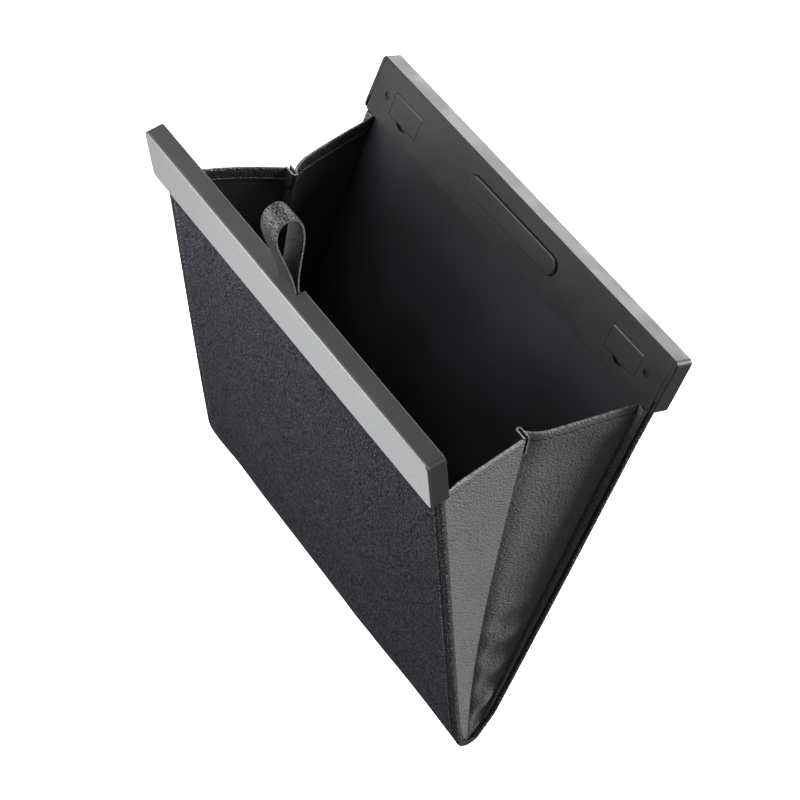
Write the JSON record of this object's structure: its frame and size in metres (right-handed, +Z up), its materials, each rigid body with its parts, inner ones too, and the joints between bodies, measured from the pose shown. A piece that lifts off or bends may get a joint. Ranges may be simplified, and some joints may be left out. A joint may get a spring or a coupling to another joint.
{
  "type": "car trash bin",
  "caption": "Soft wedge-shaped car bin: silver-faced front bar and black rear bar, stiff leather panels, creased side gussets, pull loop, liner clips and a magnetic mouth.",
  "frame": {"origin": "centre of the rear bar's flat back, which lies against the seat", "axes": "+X along the bars, +Y out of the rear bar's back towards the seat, +Z up"},
  "size_m": [0.27, 0.1797, 0.3055],
  "materials": {
    "black_plastic": "fine grain",
    "silver_trim": "satin, bead-blasted",
    "panel_leather": "grained",
    "gusset_leather": "pebble grain",
    "loop_leather": "smooth, raw edges",
    "lining": "smooth",
    "board": "raw",
    "magnet": "plated",
    "steel": "black oxide"
  },
  "bodies": {
    "rear": {"rear_bar_shell": "black_plastic", "rear_bar_cover": "black_plastic", "rear_bar_screws": "steel", "rear_magnet": "magnet", "rear_magnet_pad": "black_plastic", "rear_panel": "panel_leather", "rear_board": "board", "rear_lining": "lining", "bottom_fold": "panel_leather", "left_gusset": "gusset_leather", "right_gusset": "gusset_leather"},
    "front": {"front_bar_shell": "black_plastic", "front_bar_trim": "silver_trim", "front_bar_cover": "black_plastic", "front_bar_screws": "steel", "front_magnet": "magnet", "front_magnet_pad": "black_plastic", "front_panel": "panel_leather", "front_board": "board", "front_lining": "lining", "pull_loop": "loop_leather"},
    "left_clip": {"left_liner_clip": "black_plastic"},
    "right_clip": {"right_liner_clip": "black_plastic"}
  },
  "joints": [
    {"name": "front_swing", "type": "hinge", "parent": "rear", "child": "front", "pos_m": [0, -0.0128, -0.2675], "axis": [1, 0, 0], "range_deg": [-28.5, 0], "deforming": ["bottom_fold", "left_gusset", "right_gusset"]},
    {"name": "left_clip_swing", "type": "hinge", "parent": "rear", "child": "left_clip", "pos_m": [-0.1014, -0.0096, 0.0045], "axis": [-1, 0, 0], "range_deg": [0, 12]},
    {"name": "right_clip_swing", "type": "hinge", "parent": "rear", "child": "right_clip", "pos_m": [0.1014, -0.0096, 0.0045], "axis": [-1, 0, 0], "range_deg": [0, 12]}
  ]
}
